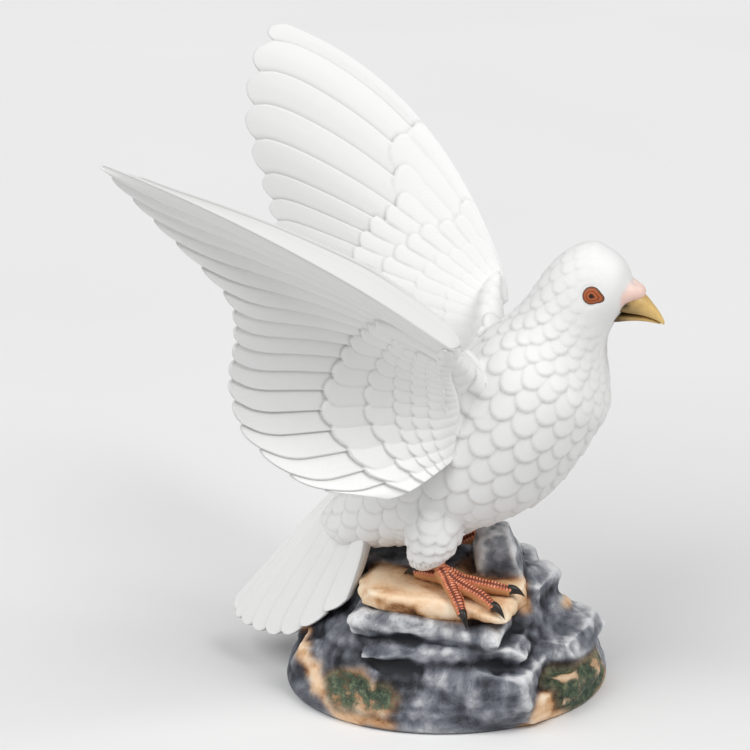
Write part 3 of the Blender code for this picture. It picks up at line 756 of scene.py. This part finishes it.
def toe_tree(paint):
    """Toe along a curve: a knuckled tube and rows of scutes over it, marked by their own attribute."""
    tree = bpy.data.node_groups.new("toe", "GeometryNodeTree")
    for label, kind in (("Geometry", "NodeSocketGeometry"), ("Radius", "NodeSocketFloat"),
                        ("Scute Spacing", "NodeSocketFloat")):
        tree.interface.new_socket(label, in_out="INPUT", socket_type=kind)
    tree.interface.new_socket("Geometry", in_out="OUTPUT", socket_type="NodeSocketGeometry")
    inputs, output = tree.nodes.new("NodeGroupInput").outputs, tree.nodes.new("NodeGroupOutput")
    smooth = add_node(tree, "GeometryNodeResampleCurve", {"Curve": inputs["Geometry"], "Count": 60})
    share = add_node(tree, "GeometryNodeSplineParameter").outputs["Factor"]
    knuckles = maths(tree, "SINE", maths(tree, "MULTIPLY", share, 6 * math.pi))
    taper = maths(tree, "MULTIPLY_ADD", share, -0.30, 1.04)
    size = maths(tree, "MULTIPLY", maths(tree, "MULTIPLY_ADD", knuckles, 0.05, taper), inputs["Radius"])
    line = add_node(tree, "GeometryNodeSetCurveRadius", {"Curve": smooth.outputs["Curve"], "Radius": size})
    radius = add_node(tree, "GeometryNodeInputRadius").outputs["Radius"]
    circle = add_node(tree, "GeometryNodeCurvePrimitiveCircle", {"Resolution": 20, "Radius": 1.0})
    tube = add_node(tree, "GeometryNodeCurveToMesh",
                    {"Curve": line.outputs["Curve"], "Scale": radius,
                     "Profile Curve": circle.outputs["Curve"], "Fill Caps": True})
    rows = add_node(tree, "GeometryNodeResampleCurve",
                    {"Curve": line.outputs["Curve"], "Length": inputs["Scute Spacing"]}, mode="LENGTH")
    plate = add_node(tree, "GeometryNodeMeshUVSphere", {"Segments": 10, "Rings": 7, "Radius": 1.0})
    band = add_node(tree, "GeometryNodeJoinGeometry")
    for turn, across, tall in SCUTES:
        lean = math.radians(turn)
        reach = 1.09 - tall
        shaped = add_node(tree, "GeometryNodeTransform",
                          {"Geometry": plate.outputs["Mesh"], "Scale": (tall, across, 0.23),
                           "Rotation": (0, 0, lean),
                           "Translation": (reach * math.cos(lean), reach * math.sin(lean), 0)})
        tree.links.new(shaped.outputs["Geometry"], band.inputs["Geometry"])
    heading = add_node(tree, "GeometryNodeInputTangent").outputs["Tangent"]
    sideways = add_node(tree, "ShaderNodeVectorMath", {0: heading, 1: (0, 0, 1)}, operation="CROSS_PRODUCT")
    upward = add_node(tree, "ShaderNodeVectorMath", {0: sideways.outputs[0], 1: heading},
                      operation="CROSS_PRODUCT")
    lie = add_node(tree, "FunctionNodeAxesToRotation",
                   {"Primary Axis": heading, "Secondary Axis": upward.outputs[0]},
                   primary_axis="Z", secondary_axis="X")
    laid = add_node(tree, "GeometryNodeInstanceOnPoints",
                    {"Points": rows.outputs["Curve"], "Instance": band.outputs["Geometry"],
                     "Rotation": lie.outputs["Rotation"], "Scale": radius})
    real = add_node(tree, "GeometryNodeRealizeInstances", {"Geometry": laid.outputs["Instances"]})
    marked = add_node(tree, "GeometryNodeStoreNamedAttribute",
                      {"Geometry": real.outputs["Geometry"], "Name": "plate", "Value": 1.0})
    toe = add_node(tree, "GeometryNodeJoinGeometry")
    for part in (tube.outputs["Mesh"], marked.outputs["Geometry"]):
        tree.links.new(part, toe.inputs["Geometry"])
    painted = add_node(tree, "GeometryNodeSetMaterial",
                       {"Geometry": toe.outputs["Geometry"], "Material": paint})
    tree.links.new(painted.outputs["Geometry"], output.inputs["Geometry"])
    return tree


def toe_paint():
    """Coral daubed on the scutes, over skin that is dark brown where it faces up, between them."""
    material, tree, shader, where = finish_material("coral_toe_paint", 0.5)
    facing = add_node(tree, "ShaderNodeNewGeometry").outputs["Normal"]
    upward = add_node(tree, "ShaderNodeSeparateXYZ", {0: facing}).outputs["Z"]
    scute = ramp(tree, clouds(tree, where, 520.0, 4.0),
                 [(0.30, (0.50, 0.13, 0.055)), (0.52, (0.72, 0.24, 0.125)), (0.72, (0.86, 0.42, 0.27))])
    skin = ramp(tree, upward,
                [(0.0, (0.50, 0.24, 0.10)), (0.35, (0.55, 0.20, 0.09)), (0.60, (0.16, 0.035, 0.015))])
    painted = mixed(tree, surface_value(tree, "plate"), skin, scute)
    tree.links.new(painted, shader.inputs["Base Color"])
    return material


coral = toe_paint()
toe_form = toe_tree(coral)
toe_inputs = {item.name: item.identifier for item in toe_form.interface.items_tree if item.in_out == "INPUT"}


def foot(side):
    """One foot's shank and toes, grown along their curves and made plain mesh."""
    shells, plates = [], []
    for name, keys in TOES.items():
        if not name.startswith(side):
            continue
        line = bpy.data.curves.new(name, "CURVE")
        line.dimensions = "3D"
        path = line.splines.new("POLY")
        keys = [(i, *key) for i, key in enumerate(keys)]
        places = placed(curve_through(keys, np.linspace(0, len(keys) - 1, 24)))
        path.points.add(len(places) - 1)
        path.points.foreach_set("co", np.column_stack([places, np.ones(len(places))]).ravel())
        toe = bpy.data.objects.new(name, line)
        bpy.context.scene.collection.objects.link(toe)
        grow = toe.modifiers.new("toe", "NODES")
        grow.node_group = toe_form
        grow[toe_inputs["Radius"]] = TOE_RADIUS * UNIT
        grow[toe_inputs["Scute Spacing"]] = SCUTE_SPACING * UNIT
        mesh = bpy.data.meshes.new_from_object(toe.evaluated_get(bpy.context.evaluated_depsgraph_get()))
        bpy.data.objects.remove(toe)
        points = drawn([point.co for point in mesh.vertices])
        shells.append((points, [tuple(face.vertices) for face in mesh.polygons]))
        marks = np.zeros(len(points), np.float32)
        mesh.attributes["plate"].data.foreach_get("value", marks)
        plates.append(marks)
    piece = new_piece(f"{side}_foot", *joined(shells))
    write_values(piece, "plate", np.concatenate(plates))
    return piece


def claws(side):
    """Curved pointed claws at the ends of one foot's toes."""
    shells = []
    for name, keys in TOES.items():
        if not name.startswith(side) or "shank" in name:
            continue
        keys = np.array(keys, float)
        heading = unit(keys[-1] - keys[-2])
        flat = unit(np.cross(heading, (0, 0, 1)))
        s = np.linspace(0, 1, 18)[:, None]
        arch = 1.5 * np.sin(s * math.pi * 0.75) - 2.4 * s**2.5
        length = CLAW_LENGTH + CLAW_SUNK
        spine = keys[-1] - heading * CLAW_SUNK + heading * length * s + arch * (0, 0, 1)
        wide = (TOE_RADIUS * 0.72 * (1 - s**1.7) + 0.12)[..., None]
        turn = np.linspace(0, 2 * math.pi, 16, endpoint=False)[None, :, None]
        up = unit(np.cross(flat, heading))
        shells.append(closed_tube(spine[:, None] + wide * (np.cos(turn) * flat * 0.85 + np.sin(turn) * up)))
    return new_piece(f"{side}_claws", *joined(shells))


def claw_paint():
    """Near-black paint, a little rubbed."""
    material, tree, shader, where = finish_material("near_black_claw_paint", 0.38)
    rubbed = ramp(tree, clouds(tree, where, 400.0, 3.0),
                  [(0.35, (0.010, 0.008, 0.006)), (0.75, (0.045, 0.036, 0.028))])
    tree.links.new(rubbed, shader.inputs["Base Color"])
    return material


horn_black = claw_paint()
for side in ("right", "left"):
    part_of_statue(foot(side), coral)
    part_of_statue(claws(side), horn_black)

# Rock: a stack of split boulders on an oval foot with a plain rim, pressed in a mould, painted slate
# grey with tan faces and green moss, then washed dark in the cracks and dry-brushed pale, with
# painted light making its upward faces paler.
BASE_LENGTH, BASE_WIDTH, BASE_TURN, BASE_RIM = 147.0, 117.0, 20.0, 12.0
STAND_HEIGHT = 58.0
WORN_EDGE, WORN_CORNER, ROCK_SHIFT, UNDERCUT = 0.93, 0.82, 0.055, 1.5
ROCK_SEED = 7
GREY, TAN, MOSSY, DARK, PALE = range(5)
# Boulders, as shares of the foot's half-length, its half-width and the standing height: centre, size,
# turn and tilt in degrees, and how each is painted
ROCKS = [
    ((0.02, -0.30, 0.93), (0.98, 0.98, 0.16), 4, 3, TAN),
    ((-0.02, -0.32, 0.74), (0.98, 1.02, 0.22), -3, 1, GREY),
    ((0.08, -0.34, 0.56), (1.00, 1.04, 0.20), 5, -2, GREY),
    ((0.28, -0.50, 0.27), (0.78, 0.82, 0.50), 8, 0, GREY),
    ((-0.42, -0.54, 0.27), (0.64, 0.60, 0.46), -28, 6, MOSSY),
    ((-0.66, -0.44, 0.24), (0.34, 0.56, 0.42), -22, 8, TAN),
    ((-0.71, -0.09, 0.34), (0.32, 0.60, 0.50), -8, 4, DARK),
    ((-0.52, 0.10, 0.50), (0.66, 0.80, 0.66), 10, 3, DARK),
    ((-0.22, 0.08, 0.82), (0.76, 0.72, 0.50), -6, 2, DARK),
    ((0.31, 0.00, 1.05), (0.32, 0.42, 0.58), 14, -8, PALE),
    ((0.48, 0.13, 0.66), (0.32, 0.50, 0.56), -12, 5, PALE),
    ((0.58, 0.30, 0.42), (0.28, 0.40, 0.44), 15, 0, TAN),
    ((0.64, 0.02, 0.42), (0.56, 0.80, 0.34), -8, -4, PALE),
    ((0.67, -0.18, 0.22), (0.52, 0.68, 0.30), -16, -3, MOSSY),
    ((0.56, -0.46, 0.14), (0.42, 0.40, 0.24), -30, 0, TAN),
    ((0.02, 0.54, 0.36), (0.84, 0.60, 0.66), 6, 0, GREY),
    ((-0.46, 0.46, 0.30), (0.60, 0.60, 0.54), 30, 0, MOSSY),
    ((0.44, 0.50, 0.28), (0.56, 0.54, 0.50), -28, 0, GREY),
    ((0.20, 0.38, 0.72), (0.66, 0.62, 0.36), 8, 4, GREY),
]
# The boulders that the front left's own paint covers, then that paint: the slanting tan band's place,
# half-width and end, and the middle and half-size of the moss and of the tan above the rim
LEFT_FRONT = (4, 5)
BAND, BAND_HALF, BAND_END = -34, 5, -26
MOSS_PATCH = (-27, 14, 18, 9)
RIM_PATCH = (-26, 3.5, 15, 3)
# The boulder under the breast, and how it narrows: towards this x, by this share, between these heights
SPIRE, SPIRE_X, SPIRE_TAPER, SPIRE_SPAN = 9, 23, 0.38, (56, 80)
ROCK_VOXEL, ROCK_SMOOTHING = 0.88, 16


def turned_by(turn, tilt):
    a, b = math.radians(turn), math.radians(tilt)
    about_z = np.array([[math.cos(a), -math.sin(a), 0], [math.sin(a), math.cos(a), 0], [0, 0, 1]])
    about_y = np.array([[math.cos(b), 0, math.sin(b)], [0, 1, 0], [-math.sin(b), 0, math.cos(b)]])
    return about_z @ about_y


def boulder_shell(centre, size, turn, tilt, dice):
    """A split block with worn edges and corners, as the hull round its shifted lattice points."""
    half = np.array([BASE_LENGTH / 2, BASE_WIDTH / 2, STAND_HEIGHT])
    turned = turned_by(turn, tilt)
    block = bmesh.new()
    for corner in product((-1, 0, 1), repeat=3):
        worn = (0, 1.0, WORN_EDGE, WORN_CORNER)[sum(abs(step) for step in corner)]
        if worn:
            share = np.array(corner) / 2 * worn + dice.uniform(-1, 1, 3) * ROCK_SHIFT
            place = turned @ (share * np.array(size) * half) + np.array(centre) * half
            place[2] = max(place[2], UNDERCUT)
            block.verts.new(place + (0, OFF_CENTRE, 0))
    bmesh.ops.convex_hull(block, input=block.verts)
    bmesh.ops.delete(block, geom=[vert for vert in block.verts if not vert.link_faces], context="VERTS")
    block.verts.index_update()
    points = np.array([vert.co for vert in block.verts])
    faces = [tuple(vert.index for vert in face.verts) for face in block.faces]
    planes = np.array([(*face.normal, face.normal @ face.verts[0].co) for face in block.faces])
    block.free()
    return points, faces, planes


def foot_shell(columns=128):
    """The oval foot with its plain rim, rising inside the boulders."""
    turn = np.linspace(0, 2 * math.pi, columns, endpoint=False)
    profile = [(0.965, 0.0), (0.99, 0.8), (1.0, 3.0), (0.995, 7.0), (0.97, BASE_RIM),
               (0.90, 19), (0.80, 32), (0.55, 50)]
    rings = np.array([np.column_stack([share * BASE_LENGTH / 2 * np.cos(turn),
                                       share * BASE_WIDTH / 2 * np.sin(turn),
                                       np.full(columns, height)]) for share, height in profile])
    return closed_tube(rings @ turned_by(BASE_TURN, 0).T + (0, OFF_CENTRE, 0))


def grain(points, size, octaves, seed):
    """Fractal noise at each point, about -1 to 1; size is the width of its largest lumps."""
    shift = Vector((seed, 3.1 * seed, 7.7 * seed))
    return np.array([noise.fractal(Vector(point) / size + shift, 0.9, 2.1, octaves) for point in points])


dice = np.random.RandomState(ROCK_SEED)
boulders = [boulder_shell(*rock[:4], dice) for rock in ROCKS]
shells = [foot_shell()] + [(points, faces) for points, faces, _ in boulders]
rock_base = fused("rock_base", shells, ROCK_VOXEL, ROCK_SMOOTHING)
points, normals = drawn_points(rock_base)
ends = edge_ends(rock_base)
depths = np.array([(planes[:, :3] @ points.T - planes[:, 3:]).max(0) for _, _, planes in boulders])
owner = np.abs(depths).argmin(0)
paint = np.array([rock[4] for rock in ROCKS])[owner]
# On the front left the slate carries only a tan band down to the rim and moss over one block
wander = 5 * grain(points, 13, 3, 9.0)
across, height, front = points[:, 0] + wander, points[:, 2] + 0.5 * wander, points[:, 1] < OFF_CENTRE - 12
paint[np.isin(owner, LEFT_FRONT)] = DARK
paint[front & (np.abs(across + height - BAND) < BAND_HALF) & (across < BAND_END)] = TAN
x, z, half_x, half_z = MOSS_PATCH
paint[front & (np.hypot((across - x) / half_x, (height - z) / half_z) < 1)] = MOSSY
x, z, half_x, half_z = RIM_PATCH
paint[front & (np.abs(across - x) < half_x) & (np.abs(height - z) < half_z)] = TAN
# Layers of the stone, tipped a little, then lumps and pits, all fading out towards the plain rim
layered = points @ (turned_by(10, 9) @ np.diag([0.020, 0.020, 0.13])).T
relief = 2.4 * grain(points, 20, 3, 1.0) + 0.9 * grain(layered, 1.0, 2, 2.0) + 0.12 * grain(points, 3.2, 3, 5.0)
spire = owner == SPIRE
inward = ((SPIRE_X, OFF_CENTRE) - points[spire, :2]) * SPIRE_TAPER
points[spire, :2] += inward * ease(*SPIRE_SPAN, points[spire, 2])[:, None]
rim = ease(1.5, 9, points[:, 2])
stand = 1 - 0.8 * (paint == TAN) * ease(0.5, 0.9, normals[:, 2]) * ease(50, 54, points[:, 2])
points = points + normals * (relief * rim * stand)[:, None]
points[:, 2] = np.maximum(points[:, 2], 0)
move_points(rock_base, points)
fine = np.einsum("ij,ij->i", points - neighbours_mean(points, ends, 3), normals)
broad = np.einsum("ij,ij->i", points - neighbours_mean(points, ends, 60), normals)
# Crests paler and hollows darker, as wash and dry-brushing, plus painted light: the upward faces paler, as if
# lit from above
write_values(rock_base, "crest_and_painted_top_light", (np.clip(fine / 0.14, -1, 1) * 0.12 + np.clip(broad / 1.6, -1, 1) * 0.75
                                  + 0.30 * normals[:, 2]))
shares = {"tan": paint == TAN, "moss": paint == MOSSY, "dark": (paint == DARK) - 0.7 * (paint == PALE)}
for name, share in shares.items():
    write_values(rock_base, name, neighbours_mean(share.astype(float)[:, None], ends, 7))


def rock_paint():
    """Slate, tan and moss, washed dark in the hollows and dry-brushed pale on the crests, with painted light
    making the upward faces paler.
    """
    material, tree, shader, where = finish_material("painted_rock", 0.62)
    crest_and_painted_top_light, tan, moss, dark = (surface_value(tree, name)
                              for name in ("crest_and_painted_top_light", "tan", "moss", "dark"))
    cloud = clouds(tree, where, 34.0, 7.0, Roughness=0.60, Distortion=0.9)
    sponge = clouds(tree, where, 340.0, 5.0, Roughness=0.75)
    tone = maths(tree, "MULTIPLY_ADD", crest_and_painted_top_light, 0.36, cloud)
    tone = maths(tree, "MULTIPLY_ADD", maths(tree, "SUBTRACT", sponge, 0.5), 0.20, tone)
    tone = maths(tree, "MULTIPLY_ADD", dark, -0.16, tone)
    vein = clouds(tree, where, 75.0, 5.0, Roughness=0.55, Distortion=1.6)
    off_vein = maths(tree, "ABSOLUTE", maths(tree, "SUBTRACT", vein, 0.5))
    crack = ramp(tree, off_vein, [(0.0, (1, 1, 1)), (0.022, (0, 0, 0))])
    tone = maths(tree, "MULTIPLY_ADD", crack, -0.075, tone)
    slate = ramp(tree, tone,
                 [(0.30, (0.010, 0.011, 0.015)), (0.46, (0.060, 0.065, 0.080)), (0.60, (0.135, 0.145, 0.170)),
                  (0.73, (0.26, 0.27, 0.295)), (0.86, (0.50, 0.51, 0.53)), (0.98, (0.70, 0.70, 0.71))])
    warm = ramp(tree, tone,
                [(0.26, (0.04, 0.015, 0.006)), (0.40, (0.24, 0.095, 0.028)), (0.53, (0.55, 0.30, 0.14)),
                 (0.70, (0.78, 0.54, 0.34)), (0.95, (0.88, 0.73, 0.55))])
    green = ramp(tree, sponge,
                 [(0.34, (0.010, 0.018, 0.012)), (0.50, (0.045, 0.070, 0.042)), (0.68, (0.17, 0.19, 0.11))])
    ground = mixed(tree, tan, slate, warm)
    ground = mixed(tree, moss, ground, mixed(tree, 0.35, warm, (0.20, 0.10, 0.045)))
    patch = maths(tree, "MULTIPLY_ADD", maths(tree, "SUBTRACT", sponge, 0.5), 0.8, cloud)
    patch = maths(tree, "MULTIPLY_ADD", crest_and_painted_top_light, -0.30, patch)
    cover = ramp(tree, patch, [(0.19, (0, 0, 0)), (0.37, (1, 1, 1))])
    ground = mixed(tree, maths(tree, "MULTIPLY", moss, cover), ground, green)
    tree.links.new(ground, shader.inputs["Base Color"])
    roughened(tree, shader, clouds(tree, where, 900.0, 6.0), 0.35, 0.0003)
    return material


part_of_statue(rock_base, rock_paint())

# Stage: a plain pale floor, a broad soft light overhead and in front, a pale sky all round, and the
# camera at the photograph's view.
AIM = (-0.0325, -0.006, 0.146)
DISTANCE, AZIMUTH, ELEVATION = 1.1, 14.0, 20.0
LENS, SENSOR = 120, 36
SKY = 0.215


def direction(azimuth, elevation):
    a, e = math.radians(azimuth), math.radians(elevation)
    return Vector((math.sin(a) * math.cos(e), -math.cos(a) * math.cos(e), math.sin(e)))


def aimed(name, data, azimuth, elevation, distance):
    thing = bpy.data.objects.new(name, data)
    bpy.context.scene.collection.objects.link(thing)
    away = direction(azimuth, elevation)
    thing.location = Vector(AIM) + away * distance
    thing.rotation_euler = (-away).to_track_quat("-Z", "Y").to_euler()
    return thing


def soft_light(name, azimuth, elevation, spread, strength):
    """Even light from a broad patch of sky, its spread in degrees."""
    light = bpy.data.lights.new(name, "SUN")
    light.angle, light.energy = math.radians(spread), strength
    aimed(name, light, azimuth, elevation, 2.0)


floor_mesh = bpy.data.meshes.new("floor")
floor_mesh.from_pydata([(-4, -4, 0), (4, -4, 0), (4, 4, 0), (-4, 4, 0)], [], [(0, 1, 2, 3)])
floor = bpy.data.objects.new("floor", floor_mesh)
bpy.context.scene.collection.objects.link(floor)
paper, tree, shader, where = finish_material("white_paper", 0.9)
fibre = ramp(tree, clouds(tree, where, 3.0, 2.0), [(0.2, (0.74, 0.74, 0.74)), (0.8, (0.77, 0.77, 0.77))])
tree.links.new(fibre, shader.inputs["Base Color"])
floor_mesh.materials.append(paper)
soft_light("key", 72, 52, 35, 1.85)
soft_light("front", -40, 47, 50, 1.85)
world = bpy.data.worlds.new("studio")
world.use_nodes = True
world.node_tree.nodes["Background"].inputs["Color"].default_value = (1, 1, 1, 1)
world.node_tree.nodes["Background"].inputs["Strength"].default_value = SKY
bpy.context.scene.world = world
bpy.context.scene.view_settings.view_transform = "Standard"
camera_data = bpy.data.cameras.new("camera")
camera_data.lens, camera_data.sensor_width = LENS, SENSOR
bpy.context.scene.camera = aimed("camera", camera_data, AZIMUTH, ELEVATION, DISTANCE)
